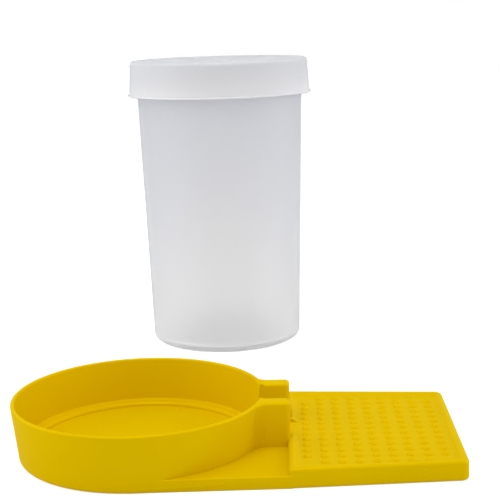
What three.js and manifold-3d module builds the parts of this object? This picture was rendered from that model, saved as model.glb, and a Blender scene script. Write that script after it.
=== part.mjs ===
import * as THREE from 'three';
import { mergeVertices } from 'three/addons/utils/BufferGeometryUtils.js';
import Module from 'manifold-3d';

// Hive entrance feeder. Millimetres, +Z up.
// The origin is the centre of the round dish on the underside of the base.
// +X runs from the dish to the tray that slides into the hive, and the front is the -Y side.

// Dish
const dishRimRadius = 59;
const dishFootRadius = 56.2;
const dishHeight = 26.5;
const dishWall = 2;
const dishFootFillet = 1.8;
const dishRimRounding = 0.6;
const dishFloor = 3;
const ledgeHeight = 5.4;
const ledgeWidth = 4.6;

// Throat between the dish and the tray
const throatWidth = 20;
const armThickness = 8;
const armWall = 2;
const armOverlapOnTray = 1.2;
const armEndRounding = 2.4;
const armTopRounding = 1;

// Low plate that joins dish and tray
const plateHeight = 5.7;
const plateEdge = 0.6;
const plateSkin = 2;
const plateSideWall = 2.2;
const platePocketStart = 30;

// Tray
const trayStart = 68.8;
const trayLength = 77.4;
const trayWidthAtDish = 107;
const trayWidthAtEnd = 96;
const trayHeight = 9;
const trayRecess = 1.4;
const trayEdge = 1.2;
const trayOuterRounding = 4;
const trayInnerRounding = 2;
const trayRim = 3;
const trayRimAtDish = 2.8;
const trayRecessRounding = 2;
const traySkin = 2;
const traySideWall = 2.4;
const trayRib = 1.6;
const trayPocketsAlong = 3;
const trayPocketsAcross = 4;

// Studs on the tray floor
const studColumns = 9;
const studRows = 13;
const studPitchAlong = 7.5;
const studPitchAcross = 7.1;
const studFootRadius = 2.1;
const studTopRadius = 1.6;
const studHeight = 1.2;
const studStandoff = 5.7;
const studSides = 8;

// Bottle
const bottleFootRadius = 45.4;
const bottleNeckRadius = 50.2;
const bottleHeight = 169.4;
const bottleWall = 1.6;
const bottleFloor = 2.2;
const bottleFootFillet = 4;
const bottleFootRing = 4;
const bottleFootRecess = 1;
const bottleRimBead = 1.2;
const bottleRimBeadHeight = 3;
const bottleStandX = 32;
const bottleStandY = 200;

// Push-fit lid
const lidRunningGap = 0.5;
const lidDraft = 1.1;
const lidSkirtHeight = 20.8;
const lidWall = 1.5;
const lidTopThickness = 1.7;
const lidTopRounding = 2;
const lidFlangeWidth = 1;
const lidFlangeHeight = 1.3;
const lidSeatGap = 0.3;
const feedHoleRadius = 1.5;
const feedHoleRing = 16;
const feedHoleCount = 6;
const feedHoleSides = 12;

// Modelling settings
const overrun = 1;
const roundSegments = 72;
const filletSteps = 4;

// Places worked out from the sizes above
const throatHalf = throatWidth / 2;
const armOuter = throatHalf + armThickness;
const armEnd = trayStart + armOverlapOnTray;
const trayEnd = trayStart + trayLength;
const recessStart = trayStart + trayRimAtDish;
const recessEnd = trayEnd - trayRim;
const tongueFloor = trayHeight - trayRecess;
const lidTopRadius = bottleNeckRadius + bottleRimBead + lidRunningGap + lidWall;
const lidSkirtRadius = lidTopRadius + lidDraft;

const wasm = await Module();
wasm.setup();

// Turns a closed geometry into a solid that can be joined and cut
function solid(geometry) {
  const bare = geometry.clone();
  bare.deleteAttribute('normal');
  bare.deleteAttribute('uv');
  const merged = mergeVertices(bare, overrun / 1e5);
  const vertProperties = new Float32Array(merged.attributes.position.array);
  const triVerts = new Uint32Array(merged.index.array);
  return new wasm.Manifold(new wasm.Mesh({ numProp: 3, vertProperties, triVerts }));
}

// Turns a joined or cut solid back into a geometry
function geometryOf(body) {
  const mesh = body.getMesh();
  const geometry = new THREE.BufferGeometry();
  geometry.setAttribute('position', new THREE.BufferAttribute(mesh.vertProperties, 3));
  geometry.setIndex(new THREE.BufferAttribute(mesh.triVerts, 1));
  geometry.computeVertexNormals();
  return geometry;
}

// Round body from radius and height pairs that run from the axis back to the axis, bottom first
function turned(profile, segments = roundSegments) {
  const points = profile.map(([radius, height]) => new THREE.Vector2(radius, height));
  const geometry = new THREE.LatheGeometry(points, segments);
  geometry.rotateX(Math.PI / 2);
  return solid(geometry);
}

// Quarter round from one angle to another, as radius and height pairs
function quarter(centreRadius, centreHeight, radius, fromAngle, toAngle) {
  const pairs = [];
  for (let step = 0; step <= filletSteps; step += 1) {
    const angle = fromAngle + ((toAngle - fromAngle) * step) / filletSteps;
    pairs.push([centreRadius + radius * Math.cos(angle), centreHeight + radius * Math.sin(angle)]);
  }
  return pairs;
}

// Flat outline through corners, each rounded by its own radius, or sharp where the radius is zero
function outline(corners) {
  const points = [];
  corners.forEach(([x, y, radius], index) => {
    const corner = new THREE.Vector2(x, y);
    if (radius === 0) {
      points.push(corner);
      return;
    }
    const before = corners[(index + corners.length - 1) % corners.length];
    const after = corners[(index + 1) % corners.length];
    const towardsBefore = new THREE.Vector2(before[0], before[1]).sub(corner).setLength(radius);
    const towardsAfter = new THREE.Vector2(after[0], after[1]).sub(corner).setLength(radius);
    const start = corner.clone().add(towardsBefore);
    const end = corner.clone().add(towardsAfter);
    points.push(...new THREE.QuadraticBezierCurve(start, corner, end).getPoints(filletSteps));
  });
  return new THREE.Shape(points);
}

// Upright slab of an outline between two heights, with its top and bottom edges eased
function slab(shape, bottom, top, edge) {
  const geometry = new THREE.ExtrudeGeometry(shape, {
    depth: top - bottom - 2 * edge,
    bevelEnabled: edge > 0,
    bevelThickness: edge,
    bevelSize: edge,
    bevelOffset: -edge,
    bevelSegments: 2,
  });
  geometry.translate(0, 0, bottom + edge);
  return solid(geometry);
}

// Box between two corners
function block(low, high) {
  const size = high.map((value, axis) => value - low[axis]);
  const geometry = new THREE.BoxGeometry(...size);
  geometry.translate(...low.map((value, axis) => value + size[axis] / 2));
  return solid(geometry);
}

// Radius of the drafted outer wall of the dish at a height
function dishRadiusAt(height) {
  return dishFootRadius + ((dishRimRadius - dishFootRadius) * height) / dishHeight;
}

// Half the width of the tray, which narrows away from the dish
function trayHalfWidthAt(x) {
  const along = (x - trayStart) / trayLength;
  return (trayWidthAtDish + (trayWidthAtEnd - trayWidthAtDish) * along) / 2;
}

function dishBody() {
  const footCentre = dishRadiusAt(dishFootFillet) - dishFootFillet;
  const rimCentre = dishRimRadius - dishWall + dishRimRounding;
  return turned([
    [0, 0],
    ...quarter(footCentre, dishFootFillet, dishFootFillet, -Math.PI / 2, 0),
    [dishRadiusAt(dishHeight - dishRimRounding), dishHeight - dishRimRounding],
    [dishRimRadius - dishRimRounding, dishHeight],
    [rimCentre, dishHeight],
    [0, dishHeight],
  ]);
}

// Everything that the dish leaves open: the well, the ledge for the bottle and the rim's inner edge
function dishCavity() {
  const ledgeOuter = dishRadiusAt(ledgeHeight) - dishWall;
  const rimInner = dishRimRadius - dishWall;
  return turned([
    [0, dishFloor],
    [ledgeOuter - ledgeWidth, dishFloor],
    [ledgeOuter - ledgeWidth, ledgeHeight],
    [ledgeOuter, ledgeHeight],
    [rimInner, dishHeight - dishRimRounding],
    [rimInner + dishRimRounding, dishHeight],
    [rimInner + dishRimRounding, dishHeight + overrun],
    [0, dishHeight + overrun],
  ]);
}

function plateBody() {
  const reach = trayStart + trayInnerRounding;
  const width = trayHalfWidthAt(reach);
  const shape = outline([
    [0, -dishFootRadius, 0],
    [reach, -width, 0],
    [reach, width, 0],
    [0, dishFootRadius, 0],
  ]);
  return slab(shape, 0, plateHeight, plateEdge);
}

function trayBody() {
  const wide = trayHalfWidthAt(trayStart);
  const narrow = trayHalfWidthAt(trayEnd);
  const shape = outline([
    [trayStart, -wide, trayInnerRounding],
    [trayEnd, -narrow, trayOuterRounding],
    [trayEnd, narrow, trayOuterRounding],
    [trayStart, wide, trayInnerRounding],
  ]);
  return slab(shape, 0, trayHeight, trayEdge);
}

// Shallow recess on top of the tray, inside its rim
function trayRecessCut() {
  const wide = trayHalfWidthAt(recessStart) - trayRim;
  const narrow = trayHalfWidthAt(recessEnd) - trayRim;
  const shape = outline([
    [recessStart, -wide, trayRecessRounding],
    [recessEnd, -narrow, trayRecessRounding],
    [recessEnd, narrow, trayRecessRounding],
    [recessStart, wide, trayRecessRounding],
  ]);
  return slab(shape, tongueFloor, trayHeight + overrun, 0);
}

// Raised floor of the throat, level with the floor of the tray
function throatFloor() {
  return block(
    [dishRimRadius - 2 * dishWall, -throatHalf - armWall, 0],
    [trayStart + trayRimAtDish, throatHalf + armWall, tongueFloor],
  );
}

// One arm of the throat, on the side given by its sign
function arm(side) {
  const inner = side * throatHalf;
  const outer = side * armOuter;
  const shape = outline([
    [dishRimRadius - dishWall - armThickness, Math.min(inner, outer), 0],
    [armEnd, Math.min(inner, outer), armEndRounding],
    [armEnd, Math.max(inner, outer), armEndRounding],
    [dishRimRadius - dishWall - armThickness, Math.max(inner, outer), 0],
  ]);
  return slab(shape, plateHeight / 2, dishHeight, armTopRounding);
}

// Passage from the dish through its wall, between the arms and through the tray's rim
function passage() {
  return block(
    [dishRimRadius - dishWall - armThickness, -throatHalf, tongueFloor],
    [recessStart + overrun, throatHalf, dishHeight + overrun],
  );
}

// Hollow on the underside of one arm
function armCore(side) {
  const near = side * (throatHalf + armWall);
  const far = side * (armOuter - armWall);
  return block(
    [dishRimRadius + armWall, Math.min(near, far), -overrun],
    [armEnd - armWall, Math.max(near, far), dishHeight - armWall],
  );
}

// Hollow under the floor of the throat
function throatCore() {
  return block(
    [dishRimRadius + armWall, -throatHalf, -overrun],
    [armEnd - armWall, throatHalf, tongueFloor - traySkin],
  );
}

// Shallow pocket on the underside of the plate, clear of the dish wall
function platePocket(side, dish) {
  const end = trayStart - plateSideWall;
  const inner = side * (armOuter + armWall);
  const farAtEnd = side * (trayHalfWidthAt(trayStart) - plateSideWall);
  const farAtStart = side * (dishFootRadius - 2 * plateSideWall);
  const shape = outline([
    [platePocketStart, inner, 0],
    [end, inner, 0],
    [end, farAtEnd, 0],
    [platePocketStart, farAtStart, 0],
  ]);
  return slab(shape, -overrun, plateHeight - plateSkin, 0).subtract(dish);
}

// Pockets under the tray, with ribs between them
function trayPockets() {
  const start = armEnd + armWall;
  const pitchAlong = (trayEnd - traySideWall + trayRib - start) / trayPocketsAlong;
  const pockets = [];
  for (let along = 0; along < trayPocketsAlong; along += 1) {
    const low = start + along * pitchAlong;
    const high = low + pitchAlong - trayRib;
    const lowPitch = (2 * (trayHalfWidthAt(low) - traySideWall) + trayRib) / trayPocketsAcross;
    const highPitch = (2 * (trayHalfWidthAt(high) - traySideWall) + trayRib) / trayPocketsAcross;
    for (let across = 0; across < trayPocketsAcross; across += 1) {
      const place = across - trayPocketsAcross / 2;
      const shape = outline([
        [low, place * lowPitch + trayRib / 2, 0],
        [high, place * highPitch + trayRib / 2, 0],
        [high, (place + 1) * highPitch - trayRib / 2, 0],
        [low, (place + 1) * lowPitch - trayRib / 2, 0],
      ]);
      pockets.push(slab(shape, -overrun, tongueFloor - traySkin, 0));
    }
  }
  return pockets;
}

// Rows of low drafted studs that bees grip, without the four at the corners
function studs() {
  const root = traySkin / 2;
  const height = studHeight + root;
  const first = recessStart + studStandoff;
  const stud = new THREE.CylinderGeometry(studTopRadius, studFootRadius, height, studSides);
  stud.rotateX(Math.PI / 2);
  stud.translate(0, 0, tongueFloor - root + height / 2);
  const bodies = [];
  for (let column = 0; column < studColumns; column += 1) {
    for (let row = 0; row < studRows; row += 1) {
      const endColumn = column === 0 || column === studColumns - 1;
      const endRow = row === 0 || row === studRows - 1;
      if (!(endColumn && endRow)) {
        const copy = stud.clone();
        const across = (row - (studRows - 1) / 2) * studPitchAcross;
        copy.translate(first + column * studPitchAlong, across, 0);
        bodies.push(solid(copy));
      }
    }
  }
  return bodies;
}

function feederBase() {
  const dish = dishBody();
  let body = dish.add(plateBody()).add(trayBody()).add(throatFloor());
  [-1, 1].forEach((side) => {
    body = body.add(arm(side));
  });
  body = body.subtract(dishCavity()).subtract(trayRecessCut());
  body = body.subtract(passage()).subtract(throatCore());
  [-1, 1].forEach((side) => {
    body = body.subtract(armCore(side)).subtract(platePocket(side, dish));
  });
  trayPockets().forEach((pocket) => {
    body = body.subtract(pocket);
  });
  studs().forEach((stud) => {
    body = body.add(stud);
  });
  return geometryOf(body);
}

// Radius of the tapered bottle wall at a height
function bottleRadiusAt(height) {
  return bottleFootRadius + ((bottleNeckRadius - bottleFootRadius) * height) / bottleHeight;
}

function bottle() {
  const footCentre = bottleRadiusAt(bottleFootFillet) - bottleFootFillet;
  const ringInner = footCentre - bottleFootRing;
  const beadStart = bottleHeight - bottleRimBeadHeight;
  const innerFillet = bottleFootFillet - bottleWall;
  const innerFloor = bottleFootRecess + bottleFloor;
  return geometryOf(turned([
    [0, bottleFootRecess],
    [ringInner - bottleFootRecess, bottleFootRecess],
    [ringInner, 0],
    ...quarter(footCentre, bottleFootFillet, bottleFootFillet, -Math.PI / 2, 0),
    [bottleRadiusAt(beadStart - bottleRimBead), beadStart - bottleRimBead],
    [bottleNeckRadius + bottleRimBead, beadStart],
    [bottleNeckRadius + bottleRimBead, bottleHeight - bottleRimBead / 2],
    [bottleNeckRadius + bottleRimBead / 2, bottleHeight],
    [bottleNeckRadius - bottleWall, bottleHeight],
    ...quarter(footCentre, innerFloor + innerFillet, innerFillet, 0, -Math.PI / 2),
    [0, innerFloor],
  ]));
}

// The lid stands in its own frame with the lower edge of its skirt at height zero
function lid() {
  const flange = lidSkirtRadius + lidFlangeWidth;
  const inside = lidSkirtHeight - lidTopThickness;
  const shoulderRadius = lidTopRadius - lidTopRounding;
  const shoulderHeight = lidSkirtHeight - lidTopRounding;
  let body = turned([
    [0, inside],
    [lidTopRadius - lidWall, inside],
    [lidSkirtRadius - lidWall, 0],
    [flange, 0],
    [flange, lidFlangeHeight],
    [lidSkirtRadius, lidFlangeHeight],
    ...quarter(shoulderRadius, shoulderHeight, lidTopRounding, 0, Math.PI / 2),
    [0, lidSkirtHeight],
  ]);
  const hole = new THREE.CylinderGeometry(
    feedHoleRadius,
    feedHoleRadius,
    lidTopThickness + 2 * overrun,
    feedHoleSides,
  );
  hole.rotateX(Math.PI / 2);
  hole.translate(0, 0, lidSkirtHeight - lidTopThickness / 2);
  body = body.subtract(solid(hole));
  for (let index = 0; index < feedHoleCount; index += 1) {
    const angle = (2 * Math.PI * index) / feedHoleCount;
    const copy = hole.clone();
    copy.translate(feedHoleRing * Math.cos(angle), feedHoleRing * Math.sin(angle), 0);
    body = body.subtract(solid(copy));
  }
  return geometryOf(body);
}

function named(name, geometry, color, roughness) {
  const material = new THREE.MeshStandardMaterial({ color, roughness, metalness: 0 });
  const mesh = new THREE.Mesh(geometry, material);
  mesh.name = name;
  return mesh;
}

const feeder = new THREE.Group();
feeder.add(named('feeder_base', feederBase(), 0xd8b000, 0.38));

// The bottle stands upright on its own behind the base, with the lid on its rim
const standing = new THREE.Group();
standing.position.set(bottleStandX, bottleStandY, 0);
standing.add(named('bottle', bottle(), 0xdcdde0, 0.45));
const lidMesh = named('bottle_lid', lid(), 0xe2e3e6, 0.42);
lidMesh.position.z = bottleHeight + lidSeatGap - (lidSkirtHeight - lidTopThickness);
standing.add(lidMesh);
feeder.add(standing);

export default feeder;
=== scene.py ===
import math

import bmesh
import bpy
from mathutils import Matrix, Vector


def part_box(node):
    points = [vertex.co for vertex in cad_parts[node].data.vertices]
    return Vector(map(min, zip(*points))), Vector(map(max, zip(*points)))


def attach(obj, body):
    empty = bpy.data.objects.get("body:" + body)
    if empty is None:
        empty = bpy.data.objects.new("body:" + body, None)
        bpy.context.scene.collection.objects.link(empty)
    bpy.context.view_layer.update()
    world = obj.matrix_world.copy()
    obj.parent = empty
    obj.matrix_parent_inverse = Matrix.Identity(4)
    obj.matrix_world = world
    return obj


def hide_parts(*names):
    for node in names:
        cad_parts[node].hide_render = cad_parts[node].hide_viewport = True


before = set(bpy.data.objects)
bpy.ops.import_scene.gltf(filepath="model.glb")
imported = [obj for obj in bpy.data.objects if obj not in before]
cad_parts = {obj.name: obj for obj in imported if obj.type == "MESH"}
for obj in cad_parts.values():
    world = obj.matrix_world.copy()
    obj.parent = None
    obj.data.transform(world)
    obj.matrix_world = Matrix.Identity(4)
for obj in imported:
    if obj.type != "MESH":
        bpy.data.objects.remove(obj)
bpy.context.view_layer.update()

# Hive entrance feeder: a yellow base with a round dish and a studded tray, and a milky bottle
# with its lid, which stands upright behind the base.
# The origin is the centre of the dish on the underside of the base, and +X runs to the tray.

# Unit, and boxes that come from the frame
mm = 0.001
base_low, base_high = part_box("feeder_base")
bottle_low, bottle_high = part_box("bottle")
lid_low, lid_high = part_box("bottle_lid")

# Dish
dish_rim_radius = -base_low.x
dish_height = base_high.z
dish_foot_radius = 56.2 * mm
dish_wall = 2.0 * mm
dish_foot_fillet = 1.8 * mm
dish_rim_rounding = 0.95 * mm
dish_well_fillet = 1.2 * mm
dish_floor = 3.0 * mm
ledge_height = 5.4 * mm
ledge_width = 4.6 * mm
ledge_nose = 1.9 * mm
ledge_foot = 0.4 * mm

# Throat and plate
throat_width = 20.0 * mm
arm_thickness = 8.0 * mm
arm_wall = 2.0 * mm
arm_end = 70.0 * mm
arm_end_rounding = 2.2 * mm
arm_top_rounding = 1.5 * mm
arm_blend_radius = 7.0 * mm
plate_height = 5.7 * mm
plate_edge = 0.6 * mm
plate_skin = 2.0 * mm
plate_side_wall = 2.2 * mm
plate_pocket_start = 30.0 * mm

# Tray
tray_start = 68.8 * mm
tray_end = base_high.x
tray_width_at_dish = 107.0 * mm
tray_width_at_end = 96.0 * mm
tray_height = 9.0 * mm
tray_recess = 1.4 * mm
tray_top_edge = 1.4 * mm
tray_foot_edge = 1.2 * mm
tray_outer_rounding = 4.0 * mm
tray_inner_rounding = 2.0 * mm
tray_rim = 3.0 * mm
tray_rim_at_dish = 2.8 * mm
recess_rounding = 2.0 * mm
recess_fillet = 2.4 * mm
recess_lip = 1.6 * mm
tray_skin = 2.0 * mm
tray_side_wall = 2.4 * mm
tray_rib = 1.6 * mm
core_foot_edge = 0.1 * mm
core_top_edge = 0.3 * mm
tray_pockets_along = 3
tray_pockets_across = 4

# Studs
stud_columns = 9
stud_rows = 13
stud_pitch_along = 7.5 * mm
stud_pitch_across = 7.1 * mm
stud_foot_radius = 1.9 * mm
stud_height = 1.2 * mm
stud_standoff = 5.7 * mm

# Bottle
bottle_foot_radius = 45.4 * mm
bottle_neck_radius = 50.2 * mm
bottle_height = bottle_high.z
bottle_wall = 1.6 * mm
bottle_floor = 2.2 * mm
bottle_foot_fillet = 4.0 * mm
bottle_foot_ring = 4.0 * mm
bottle_foot_recess = 1.0 * mm
bottle_foot_edge = 0.4 * mm
bottle_rim_bead = 1.2 * mm
bottle_rim_bead_height = 3.0 * mm

# Lid
lid_skirt_radius = 54.5 * mm
lid_top_radius = 53.4 * mm
lid_skirt_height = lid_high.z - lid_low.z
lid_wall = 1.5 * mm
lid_top_thickness = 1.7 * mm
lid_top_rounding = 2.0 * mm
lid_flange_width = 1.0 * mm
lid_flange_height = 1.3 * mm
feed_hole_radius = 1.5 * mm
feed_hole_ring = 16.0 * mm
feed_holes_in_ring = 6

# Mesh settings
overrun = 1.0 * mm
axis_tolerance = 0.001 * mm
least_rounding = 0.05 * mm
round_segments = 240
hole_segments = 32
stud_segments = 20
fillet_steps = 6
wide_fillet_steps = 10
corner_steps = 6
smooth_angle = math.radians(32)

# Colours and skin of the plastics
yellow_tints = ((0.675, 0.453, 0.0), (0.723, 0.487, 0.0))
haze_tints = ((0.975, 0.975, 0.98), (1.0, 1.0, 1.0))
# Bottle colour low down and high up: painted light at the foot and painted shade towards the neck
bottle_foot_painted_light = (0.985, 0.985, 0.99)
bottle_neck_painted_shade = (0.87, 0.88, 0.915)
bottle_painted_shade_end = 0.85 * bottle_height
# Lid colour at the skirt and at the top: painted light on the skirt and painted shade on the top
lid_skirt_painted_light = (0.955, 0.955, 0.97)
lid_top_painted_shade = (0.87, 0.88, 0.905)
skin_relief = 0.1 * mm

# Light and floor
world_light = 0.68
paper_light = 0.64
paper_shade = 0.55
floor_grey = 0.8
floor_reach = 4.0

# Places worked out from the sizes above
throat_half = throat_width / 2
arm_outer = throat_half + arm_thickness
arm_start = dish_rim_radius - dish_wall - arm_thickness
core_start = dish_rim_radius + arm_wall
core_end = arm_end - arm_wall
recess_start = tray_start + tray_rim_at_dish
recess_end = tray_end - tray_rim
tray_length = tray_end - tray_start
tray_floor = tray_height - tray_recess
bottle_place = Vector(((bottle_low.x + bottle_high.x) / 2, (bottle_low.y + bottle_high.y) / 2, 0))


# Camera at the photograph's viewing angle

def add_camera():
    image_width = 500
    focal_pixels = 1200
    yaw = -0.0297
    pitch = 0.1967
    roll = -0.0293
    place = Vector((69.5, -532.5, 199.3)) * mm
    forward = Vector((
        math.sin(yaw) * math.cos(pitch),
        math.cos(yaw) * math.cos(pitch),
        -math.sin(pitch),
    ))
    level_right = Vector((math.cos(yaw), -math.sin(yaw), 0))
    level_up = level_right.cross(forward)
    right = math.cos(roll) * level_right + math.sin(roll) * level_up
    up = math.cos(roll) * level_up - math.sin(roll) * level_right
    data = bpy.data.cameras.new("camera")
    data.sensor_width = 36
    data.lens = data.sensor_width * focal_pixels / image_width
    data.clip_start = 0.01
    data.clip_end = 50
    camera = bpy.data.objects.new("camera", data)
    bpy.context.collection.objects.link(camera)
    turn = Matrix((right, up, -forward)).transposed().to_4x4()
    camera.matrix_world = Matrix.Translation(place) @ turn
    bpy.context.scene.camera = camera


add_camera()


# Mesh helpers

def object_from(name, bm):
    bmesh.ops.recalc_face_normals(bm, faces=bm.faces)
    mesh_data = bpy.data.meshes.new(name)
    bm.to_mesh(mesh_data)
    bm.free()
    piece = bpy.data.objects.new(name, mesh_data)
    bpy.context.collection.objects.link(piece)
    return piece


def arc(centre_radius, centre_height, radius, start, stop, steps=fillet_steps):
    """Radius and height pairs along an arc, from one angle in degrees to another."""
    pairs = []
    for step in range(steps + 1):
        angle = math.radians(start + (stop - start) * step / steps)
        out = radius * math.cos(angle)
        rise = radius * math.sin(angle)
        pairs.append((centre_radius + out, centre_height + rise))
    return pairs


def lathe(name, profile, segments=round_segments, centre=Vector((0, 0, 0))):
    """Round body from radius and height pairs that start and end on the axis."""
    bm = bmesh.new()
    rings = []
    for radius, height in profile:
        if radius < axis_tolerance:
            rings.append([bm.verts.new(centre + Vector((0, 0, height)))])
            continue
        ring = []
        for index in range(segments):
            angle = 2 * math.pi * index / segments
            spoke = Vector((radius * math.cos(angle), radius * math.sin(angle), height))
            ring.append(bm.verts.new(centre + spoke))
        rings.append(ring)
    for low, high in zip(rings, rings[1:]):
        for index in range(segments):
            after = (index + 1) % segments
            if len(low) == 1:
                bm.faces.new((low[0], high[index], high[after]))
            elif len(high) == 1:
                bm.faces.new((low[index], low[after], high[0]))
            else:
                bm.faces.new((low[index], low[after], high[after], high[index]))
    return object_from(name, bm)


def body_from_rings(name, point_rings):
    """Closed body whose side joins rings of equally many points, listed from the bottom."""
    bm = bmesh.new()
    rings = [[bm.verts.new(point) for point in points] for points in point_rings]
    for low, high in zip(rings, rings[1:]):
        for index in range(len(low)):
            after = (index + 1) % len(low)
            bm.faces.new((low[index], low[after], high[after], high[index]))
    bm.faces.new(rings[0])
    bm.faces.new(rings[-1])
    return object_from(name, bm)


def rectangle(low_x, low_y, high_x, high_y, end_radius=0):
    """Corners of a rectangle, which may be rounded at its end along X."""
    return [
        (low_x, low_y, 0),
        (high_x, low_y, end_radius),
        (high_x, high_y, end_radius),
        (low_x, high_y, 0),
    ]


def tapered(start, end, start_half, end_half, start_radius=0, end_radius=0):
    """Corners of an outline about the X axis, whose half width changes from start to end."""
    return [
        (start, -start_half, start_radius),
        (end, -end_half, end_radius),
        (end, end_half, end_radius),
        (start, start_half, start_radius),
    ]


def outward_normal(edge, inward):
    """Direction square to an edge, on the side that inward points away from."""
    normal = Vector((-edge.y, edge.x))
    return -normal if normal.dot(inward) > 0 else normal


def rounded_ring(corners, inset):
    """Points of a convex outline of (x, y, radius) corners, all edges moved in by inset."""
    points = []
    count = len(corners)
    for index, (x, y, radius) in enumerate(corners):
        corner = Vector((x, y))
        before = (Vector(corners[index - 1][:2]) - corner).normalized()
        after = (Vector(corners[(index + 1) % count][:2]) - corner).normalized()
        inward = (before + after).normalized()
        half_angle = before.angle(after) / 2
        rounding = max(radius - inset, least_rounding)
        centre = corner + inward * ((inset + rounding) / math.sin(half_angle))
        first = outward_normal(before, inward)
        turn = first.angle_signed(outward_normal(after, inward))
        for step in range(corner_steps + 1):
            angle = -turn * step / corner_steps
            spoke = Matrix.Rotation(angle, 2) @ first
            points.append(centre + spoke * rounding)
    return points


def stack(name, corners, levels):
    """Upright body of an outline, from (inset, height) levels listed from the bottom."""
    return body_from_rings(name, [
        [(point.x, point.y, height) for point in rounded_ring(corners, inset)]
        for inset, height in levels
    ])


def eased_levels(bottom, top, bottom_edge, top_edge):
    """Levels of a body whose lower and upper edges are rounded outside."""
    levels = []
    for step in range(fillet_steps + 1):
        angle = math.pi / 2 * step / fillet_steps
        inset = bottom_edge * (1 - math.sin(angle))
        levels.append((inset, bottom + bottom_edge * (1 - math.cos(angle))))
    for step in range(fillet_steps + 1):
        angle = math.pi / 2 * step / fillet_steps
        inset = top_edge * (1 - math.cos(angle))
        levels.append((inset, top - top_edge * (1 - math.sin(angle))))
    return levels


def core_levels(top):
    """Levels of a pocket that is cut from below up to a height."""
    return eased_levels(-overrun, top, core_foot_edge, core_top_edge)


def flared_levels(bottom, top, floor_fillet, lip):
    """Levels of a cutter that leaves a filleted floor and a rounded lip."""
    room = top - bottom
    turn = math.pi / 2
    if floor_fillet + lip > room:
        turn = math.acos((floor_fillet + lip - room) / (floor_fillet + lip))
    levels = []
    for step in range(fillet_steps + 1):
        angle = turn * step / fillet_steps
        inset = floor_fillet * (1 - math.sin(angle))
        levels.append((inset, bottom + floor_fillet * (1 - math.cos(angle))))
    foot = floor_fillet * (1 - math.sin(turn))
    side = lip * (1 - math.sin(turn))
    for step in range(fillet_steps + 1):
        angle = turn * (1 - step / fillet_steps)
        inset = foot + side - lip * (1 - math.sin(angle))
        levels.append((inset, top - lip * (1 - math.cos(angle))))
    levels.append((levels[-1][0], top + overrun))
    return levels


def combine(target, tool, operation):
    """Joins or cuts target with tool, and removes tool."""
    modifier = target.modifiers.new("combine", "BOOLEAN")
    modifier.operation = operation
    modifier.solver = "MANIFOLD"
    modifier.object = tool
    bpy.context.view_layer.update()
    graph = bpy.context.evaluated_depsgraph_get()
    result = bpy.data.meshes.new_from_object(target.evaluated_get(graph))
    target.modifiers.clear()
    target.data = result
    bpy.data.objects.remove(tool)


# Base

def dish_radius_at(height):
    return dish_foot_radius + (dish_rim_radius - dish_foot_radius) * height / dish_height


def tray_half_width_at(x):
    along = (x - tray_start) / tray_length
    return (tray_width_at_dish + (tray_width_at_end - tray_width_at_dish) * along) / 2


def dish_body():
    foot_centre = dish_radius_at(dish_foot_fillet) - dish_foot_fillet
    rim_centre = dish_rim_radius - dish_rim_rounding
    return lathe("dish", [
        (0, 0),
        *arc(foot_centre, dish_foot_fillet, dish_foot_fillet, -90, 0),
        *arc(rim_centre, dish_height - dish_rim_rounding, dish_rim_rounding, 0, 90),
        (0, dish_height),
    ])


def dish_cavity():
    ledge_outer = dish_radius_at(ledge_height) - dish_wall
    ledge_inner = ledge_outer - ledge_width
    well_centre = ledge_outer - dish_well_fillet
    rim_inner = dish_rim_radius - dish_wall
    lip = dish_rim_rounding
    return lathe("cavity", [
        (0, dish_floor),
        *arc(ledge_inner - ledge_foot, dish_floor + ledge_foot, ledge_foot, -90, 0),
        *arc(ledge_inner + ledge_nose, ledge_height - ledge_nose, ledge_nose, 180, 90),
        *arc(well_centre, ledge_height + dish_well_fillet, dish_well_fillet, -90, 0),
        *arc(rim_inner + lip, dish_height - lip, lip, 180, 90),
        (rim_inner + lip, dish_height + overrun),
        (0, dish_height + overrun),
    ])


def plate_body():
    end = tray_start + tray_inner_rounding
    start_half = dish_foot_radius - plate_edge
    corners = tapered(0, end, start_half, tray_half_width_at(end))
    return stack("plate", corners, eased_levels(0, plate_height, plate_edge, plate_edge))


def tray_body():
    start_half = tray_half_width_at(tray_start)
    end_half = tray_half_width_at(tray_end)
    rounding = (tray_inner_rounding, tray_outer_rounding)
    corners = tapered(tray_start, tray_end, start_half, end_half, *rounding)
    return stack("tray", corners, eased_levels(0, tray_height, tray_foot_edge, tray_top_edge))


def tray_recess_cut():
    start_half = tray_half_width_at(recess_start) - tray_rim
    end_half = tray_half_width_at(recess_end) - tray_rim
    rounding = (recess_rounding, recess_rounding)
    corners = tapered(recess_start, recess_end, start_half, end_half, *rounding)
    levels = flared_levels(tray_floor, tray_height, recess_fillet, recess_lip)
    return stack("recess", corners, levels)


def throat_floor():
    reach = throat_half + arm_wall
    start = dish_rim_radius - 2 * dish_wall
    corners = rectangle(start, -reach, recess_start, reach)
    return stack("throat_floor", corners, [(0, 0), (0, tray_floor)])


def arm_levels():
    """Levels of an arm, whose foot is buried in the plate."""
    return eased_levels(plate_height / 2, dish_height, core_foot_edge, arm_top_rounding)


def arm(side):
    inner, outer = sorted((side * throat_half, side * arm_outer))
    corners = rectangle(arm_start, inner, arm_end, outer, end_radius=arm_end_rounding)
    return stack("arm", corners, arm_levels())


def arm_blend(side):
    """Hollow fillet between the drafted dish wall and the outer face of an arm."""
    inner = throat_half + arm_wall
    rings = []
    for inset, height in arm_levels():
        wall = dish_radius_at(height) - inset
        across = arm_outer - inset + arm_blend_radius
        along = math.sqrt((wall + arm_blend_radius) ** 2 - across ** 2)
        start = math.atan2(-across, -along)
        points = [(along, inner), (along - arm_thickness, inner)]
        for step in range(corner_steps + 1):
            angle = start + (-math.pi / 2 - start) * step / corner_steps
            reach = Vector((math.cos(angle), math.sin(angle))) * arm_blend_radius
            points.append((along + reach.x, across + reach.y))
        rings.append([(x, side * y, height) for x, y in points])
    return body_from_rings("arm_blend", rings)


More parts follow.
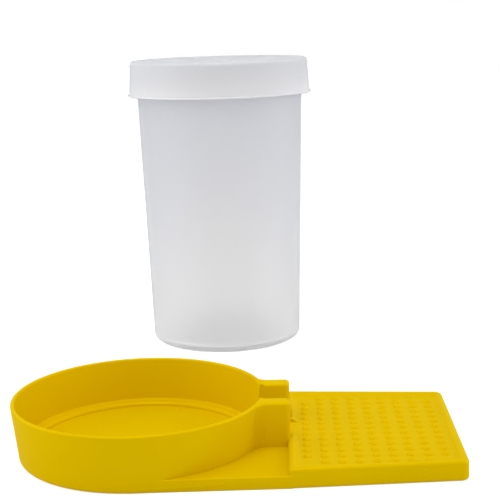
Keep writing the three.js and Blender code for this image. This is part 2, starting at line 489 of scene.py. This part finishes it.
def passage():
    """Channel between the arms, from the dish to the recess of the tray."""
    end = recess_start + recess_fillet + overrun
    corners = rectangle(arm_start, -throat_half, end, throat_half)
    return stack("passage", corners, [(0, tray_floor), (0, dish_height + overrun)])


def arm_core(side):
    near, far = sorted((side * (throat_half + arm_wall), side * (arm_outer - arm_wall)))
    corners = rectangle(core_start, near, core_end, far)
    return stack("core", corners, core_levels(dish_height - arm_wall))


def throat_core():
    corners = rectangle(core_start, -throat_half, core_end, throat_half)
    return stack("throat_core", corners, core_levels(tray_floor - tray_skin))


def plate_pocket(side):
    """Pocket under one side of the plate, which stops at the outside of the dish."""
    end = tray_start - plate_side_wall
    inner = side * (arm_outer + arm_wall)
    far_end = side * (tray_half_width_at(tray_start) - plate_side_wall)
    far_start = side * (dish_foot_radius - 2 * plate_side_wall)
    corners = [
        (plate_pocket_start, inner, 0),
        (end, inner, 0),
        (end, far_end, 0),
        (plate_pocket_start, far_start, 0),
    ]
    if side < 0:
        corners.reverse()
    pocket = stack("pocket", corners, core_levels(plate_height - plate_skin))
    combine(pocket, dish_body(), "DIFFERENCE")
    return pocket


def tray_pocket_pitch(x):
    """Distance across from one pocket under the tray to the next, at a place along it."""
    room = 2 * (tray_half_width_at(x) - tray_side_wall)
    return (room + tray_rib) / tray_pockets_across


def tray_pockets():
    """Pockets under the tray, with ribs between them."""
    start = arm_end + arm_wall
    pitch_along = (tray_end - tray_side_wall + tray_rib - start) / tray_pockets_along
    pockets = []
    for along in range(tray_pockets_along):
        low = start + along * pitch_along
        high = low + pitch_along - tray_rib
        low_pitch = tray_pocket_pitch(low)
        high_pitch = tray_pocket_pitch(high)
        for across in range(tray_pockets_across):
            place = across - tray_pockets_across / 2
            corners = [
                (low, place * low_pitch + tray_rib / 2, 0),
                (high, place * high_pitch + tray_rib / 2, 0),
                (high, (place + 1) * high_pitch - tray_rib / 2, 0),
                (low, (place + 1) * low_pitch - tray_rib / 2, 0),
            ]
            pockets.append(stack("tray_pocket", corners, core_levels(tray_floor - tray_skin)))
    return pockets


def studs():
    """All studs as one mesh, without the four at the corners."""
    first = recess_start + stud_standoff
    root = tray_floor - tray_skin / 2
    dome_radius = (stud_foot_radius ** 2 + stud_height ** 2) / (2 * stud_height)
    dome_centre = tray_floor + stud_height - dome_radius
    foot_angle = math.degrees(math.acos(stud_foot_radius / dome_radius))
    profile = [
        (0, root),
        (stud_foot_radius, root),
        *arc(0, dome_centre, dome_radius, foot_angle, 90)[:-1],
        (0, tray_floor + stud_height),
    ]
    bm = bmesh.new()
    for column in range(stud_columns):
        for row in range(stud_rows):
            if column in (0, stud_columns - 1) and row in (0, stud_rows - 1):
                continue
            across = (row - (stud_rows - 1) / 2) * stud_pitch_across
            place = Vector((first + column * stud_pitch_along, across, 0))
            stud = lathe("stud", profile, stud_segments, place)
            bm.from_mesh(stud.data)
            bpy.data.objects.remove(stud)
    return object_from("studs", bm)


def feeder_base():
    body = dish_body()
    for part in (
        plate_body(), tray_body(), throat_floor(),
        arm(-1), arm(1), arm_blend(-1), arm_blend(1),
    ):
        combine(body, part, "UNION")
    for cut in (dish_cavity(), tray_recess_cut(), passage(), throat_core(), *tray_pockets()):
        combine(body, cut, "DIFFERENCE")
    for side in (-1, 1):
        combine(body, arm_core(side), "DIFFERENCE")
        combine(body, plate_pocket(side), "DIFFERENCE")
    combine(body, studs(), "UNION")
    body.name = "base_moulding"
    return body


# Bottle and lid

def bottle_radius_at(height):
    taper = bottle_neck_radius - bottle_foot_radius
    return bottle_foot_radius + taper * height / bottle_height


def bottle_shell():
    foot_centre = bottle_radius_at(bottle_foot_fillet) - bottle_foot_fillet
    ring_inner = foot_centre - bottle_foot_ring
    inner_fillet = bottle_foot_fillet - bottle_wall
    inner_floor = bottle_foot_recess + bottle_floor
    bead_start = bottle_height - bottle_rim_bead_height
    bead_foot = bead_start - bottle_rim_bead
    bead_radius = bottle_neck_radius + bottle_rim_bead
    bead_edge = bottle_rim_bead / 2
    return lathe("bottle_shell", [
        (0, bottle_foot_recess),
        (ring_inner - bottle_foot_recess, bottle_foot_recess),
        *arc(ring_inner, bottle_foot_edge, bottle_foot_edge, 200, 270),
        *arc(foot_centre, bottle_foot_fillet, bottle_foot_fillet, -90, 0, wide_fillet_steps),
        (bottle_radius_at(bead_foot), bead_foot),
        (bead_radius, bead_start),
        *arc(bead_radius - bead_edge, bottle_height - bead_edge, bead_edge, 0, 90),
        (bottle_neck_radius - bottle_wall, bottle_height),
        *arc(foot_centre, inner_floor + inner_fillet, inner_fillet, 0, -90),
        (0, inner_floor),
    ], centre=bottle_place)


def feed_hole_places():
    """Places of the feed holes, a ring of them and one in its middle."""
    places = []
    for index in range(feed_holes_in_ring):
        angle = 2 * math.pi * index / feed_holes_in_ring
        along = feed_hole_ring * math.cos(angle)
        across = feed_hole_ring * math.sin(angle)
        places.append(bottle_place + Vector((along, across, 0)))
    places.append(bottle_place)
    return places


def feed_hole(place, low, high):
    return lathe("hole", [
        (0, low),
        (feed_hole_radius, low),
        (feed_hole_radius, high),
        (0, high),
    ], hole_segments, place)


def lid_shell():
    low = lid_low.z
    top = low + lid_skirt_height
    inside = top - lid_top_thickness
    flange = lid_skirt_radius + lid_flange_width
    edge = lid_flange_height / 4
    top_centre = lid_top_radius - lid_top_rounding
    shell = lathe("lid_shell", [
        (0, inside),
        (lid_top_radius - lid_wall, inside),
        (lid_skirt_radius - lid_wall, low),
        (lid_skirt_radius, low),
        *arc(flange - edge, low + lid_flange_height / 2, edge, -45, 45),
        (lid_skirt_radius, low + lid_flange_height),
        *arc(top_centre, top - lid_top_rounding, lid_top_rounding, 0, 90, wide_fillet_steps),
        (0, top),
    ], centre=bottle_place)
    for place in feed_hole_places():
        combine(shell, feed_hole(place, inside - overrun, top + overrun), "DIFFERENCE")
    return shell


# Materials

def node_material(name):
    material = bpy.data.materials.new(name)
    material.use_nodes = True
    return material, material.node_tree.nodes, material.node_tree.links


def noise(nodes, links, scale, detail):
    place = nodes.new("ShaderNodeTexCoord")
    texture = nodes.new("ShaderNodeTexNoise")
    texture.inputs["Scale"].default_value = scale
    texture.inputs["Detail"].default_value = detail
    links.new(place.outputs["Object"], texture.inputs["Vector"])
    return texture.outputs["Fac"]


def remap(nodes, links, source, low, high):
    node = nodes.new("ShaderNodeMapRange")
    node.inputs["To Min"].default_value = low
    node.inputs["To Max"].default_value = high
    links.new(source, node.inputs["Value"])
    return node.outputs["Result"]


def blend_colours(nodes, links, factor, first, second):
    node = nodes.new("ShaderNodeMix")
    node.data_type = "RGBA"
    node.inputs["A"].default_value = (*first, 1)
    node.inputs["B"].default_value = (*second, 1)
    links.new(factor, node.inputs["Factor"])
    return node.outputs["Result"]


def multiply_colours(nodes, links, first, second):
    node = nodes.new("ShaderNodeMix")
    node.data_type = "RGBA"
    node.blend_type = "MULTIPLY"
    node.inputs["Factor"].default_value = 1
    links.new(first, node.inputs["A"])
    links.new(second, node.inputs["B"])
    return node.outputs["Result"]


def share_of_height(nodes, links, low, high):
    """Zero at the lower height and one at the upper, with a soft start and end."""
    place = nodes.new("ShaderNodeTexCoord")
    parts = nodes.new("ShaderNodeSeparateXYZ")
    links.new(place.outputs["Object"], parts.inputs["Vector"])
    node = nodes.new("ShaderNodeMapRange")
    node.interpolation_type = "SMOOTHSTEP"
    node.inputs["From Min"].default_value = low
    node.inputs["From Max"].default_value = high
    links.new(parts.outputs["Z"], node.inputs["Value"])
    return node.outputs["Result"]


def add_relief(nodes, links, shader, height, strength):
    """Fine unevenness of the skin, from a pattern of heights."""
    bump = nodes.new("ShaderNodeBump")
    bump.inputs["Strength"].default_value = strength
    bump.inputs["Distance"].default_value = skin_relief
    links.new(height, bump.inputs["Height"])
    links.new(bump.outputs["Normal"], shader.inputs["Normal"])


def yellow_plastic():
    """Moulded yellow polypropylene with cloudy pigment, satin gloss and a faint tool texture."""
    material, nodes, links = node_material("yellow_plastic")
    shader = nodes["Principled BSDF"]
    cloud = noise(nodes, links, scale=28, detail=4)
    links.new(blend_colours(nodes, links, cloud, *yellow_tints), shader.inputs["Base Color"])
    gloss = noise(nodes, links, scale=160, detail=3)
    links.new(remap(nodes, links, gloss, low=0.29, high=0.37), shader.inputs["Roughness"])
    shader.inputs["IOR"].default_value = 1.49
    shader.inputs["Specular IOR Level"].default_value = 0.0
    shader.inputs["Metallic"].default_value = 0.065
    shader.inputs["Subsurface Weight"].default_value = 0.12
    shader.inputs["Subsurface Radius"].default_value = (1.0, 0.6, 0.1)
    shader.inputs["Subsurface Scale"].default_value = 1.5 * mm
    grain = noise(nodes, links, scale=1400, detail=2)
    add_relief(nodes, links, shader, grain, strength=0.05)
    return material


def milky_plastic(name, low, high, low_painted_light, high_painted_shade, transmission, roughness):
    """Translucent natural polypropylene with a satin skin, and painted light low down and painted
    shade high up.
    """
    material, nodes, links = node_material(name)
    shader = nodes["Principled BSDF"]
    # Painted light and shade: the colour is lighter low down and darker high up
    rise = share_of_height(nodes, links, low, high)
    painted_light_and_shade = blend_colours(nodes, links, rise, low_painted_light, high_painted_shade)
    cloud = noise(nodes, links, scale=22, detail=3)
    haze = blend_colours(nodes, links, cloud, *haze_tints)
    links.new(multiply_colours(nodes, links, painted_light_and_shade, haze), shader.inputs["Base Color"])
    skin = noise(nodes, links, scale=240, detail=3)
    links.new(remap(nodes, links, skin, *roughness), shader.inputs["Roughness"])
    shader.inputs["IOR"].default_value = 1.45
    shader.inputs["Transmission Weight"].default_value = transmission
    add_relief(nodes, links, shader, skin, strength=0.06)
    return material


def bottle_plastic():
    return milky_plastic(
        "milky_bottle_plastic",
        low=0,
        high=bottle_painted_shade_end,
        low_painted_light=bottle_foot_painted_light,
        high_painted_shade=bottle_neck_painted_shade,
        transmission=0.75,
        roughness=(0.34, 0.46),
    )


def lid_plastic():
    return milky_plastic(
        "milky_lid_plastic",
        low=lid_low.z,
        high=lid_high.z,
        low_painted_light=lid_skirt_painted_light,
        high_painted_shade=lid_top_painted_shade,
        transmission=0.6,
        roughness=(0.52, 0.64),
    )


def finish_piece(piece, material, body, node):
    mesh_data = piece.data
    mesh_data.materials.clear()
    mesh_data.materials.append(material)
    mesh_data.shade_smooth()
    mesh_data.set_sharp_from_angle(angle=smooth_angle)
    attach(piece, body)
    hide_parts(node)


finish_piece(feeder_base(), yellow_plastic(), "base", "feeder_base")
finish_piece(bottle_shell(), bottle_plastic(), "bottle_body", "bottle")
finish_piece(lid_shell(), lid_plastic(), "lid_body", "bottle_lid")


# Floor, light and background

def seen_directly(nodes, links):
    """One for camera, mirror and see-through rays, zero for the light that lights the object."""
    path = nodes.new("ShaderNodeLightPath")
    seen = path.outputs["Is Camera Ray"]
    for kind in ("Is Glossy Ray", "Is Transmission Ray"):
        either = nodes.new("ShaderNodeMath")
        either.operation = "MAXIMUM"
        links.new(seen, either.inputs[0])
        links.new(path.outputs[kind], either.inputs[1])
        seen = either.outputs["Value"]
    return seen


def choose_by_ray(nodes, links, lighting, seen, surface):
    """Gives one shader to the light on the object, and another to what is seen directly."""
    mix = nodes.new("ShaderNodeMixShader")
    links.new(seen_directly(nodes, links), mix.inputs["Fac"])
    links.new(lighting, mix.inputs[1])
    links.new(seen, mix.inputs[2])
    links.new(mix.outputs["Shader"], surface)


def floor_paint():
    """Pale floor that reads as white paper, with the object's shadow still on it."""
    material, nodes, links = node_material("floor_paint")
    nodes.remove(nodes["Principled BSDF"])
    plain = nodes.new("ShaderNodeBsdfDiffuse")
    plain.inputs["Color"].default_value = (floor_grey, floor_grey, floor_grey, 1)
    shaded = nodes.new("ShaderNodeBsdfDiffuse")
    shaded.inputs["Color"].default_value = (paper_shade, paper_shade, paper_shade, 1)
    paper = nodes.new("ShaderNodeEmission")
    paper.inputs["Strength"].default_value = paper_light
    white = nodes.new("ShaderNodeAddShader")
    links.new(shaded.outputs["BSDF"], white.inputs[0])
    links.new(paper.outputs["Emission"], white.inputs[1])
    surface = nodes["Material Output"].inputs["Surface"]
    choose_by_ray(nodes, links, plain.outputs["BSDF"], white.outputs["Shader"], surface)
    return material


def add_floor():
    bm = bmesh.new()
    signs = ((-1, -1), (1, -1), (1, 1), (-1, 1))
    bm.faces.new([bm.verts.new((x * floor_reach, y * floor_reach, 0)) for x, y in signs])
    floor = object_from("floor", bm)
    floor.data.materials.append(floor_paint())


def add_world():
    world = bpy.data.worlds.new("studio")
    bpy.context.scene.world = world
    world.use_nodes = True
    nodes = world.node_tree.nodes
    links = world.node_tree.links
    light = nodes["Background"]
    light.inputs["Color"].default_value = (1, 1, 1, 1)
    light.inputs["Strength"].default_value = world_light
    seen = nodes.new("ShaderNodeBackground")
    seen.inputs["Color"].default_value = (1, 1, 1, 1)
    seen.inputs["Strength"].default_value = 1
    surface = nodes["World Output"].inputs["Surface"]
    choose_by_ray(nodes, links, light.outputs["Background"], seen.outputs["Background"], surface)


def add_softbox(name, place, target, size, power):
    data = bpy.data.lights.new(name, "AREA")
    data.shape = "SQUARE"
    data.size = size
    data.energy = power
    light = bpy.data.objects.new(name, data)
    bpy.context.collection.objects.link(light)
    light.location = place
    direction = Vector(target) - Vector(place)
    light.rotation_euler = direction.to_track_quat("-Z", "Y").to_euler()


add_floor()
add_world()
add_softbox("top_softbox", (-0.15, -0.6, 1.4), target=(0.04, 0.05, 0.03), size=0.6, power=4.6)
add_softbox("left_softbox", (-1.1, 0.15, 0.4), target=(0.04, 0.15, 0.06), size=0.9, power=4.1)
add_softbox("right_softbox", (1.2, 0.2, 0.4), target=(0.04, 0.15, 0.06), size=0.9, power=5.2)
add_softbox("front_softbox", (-0.03, -0.02, 0.36), target=(0, 0.18, 0.02), size=0.26, power=0.23)
bpy.context.scene.view_settings.view_transform = "Standard"
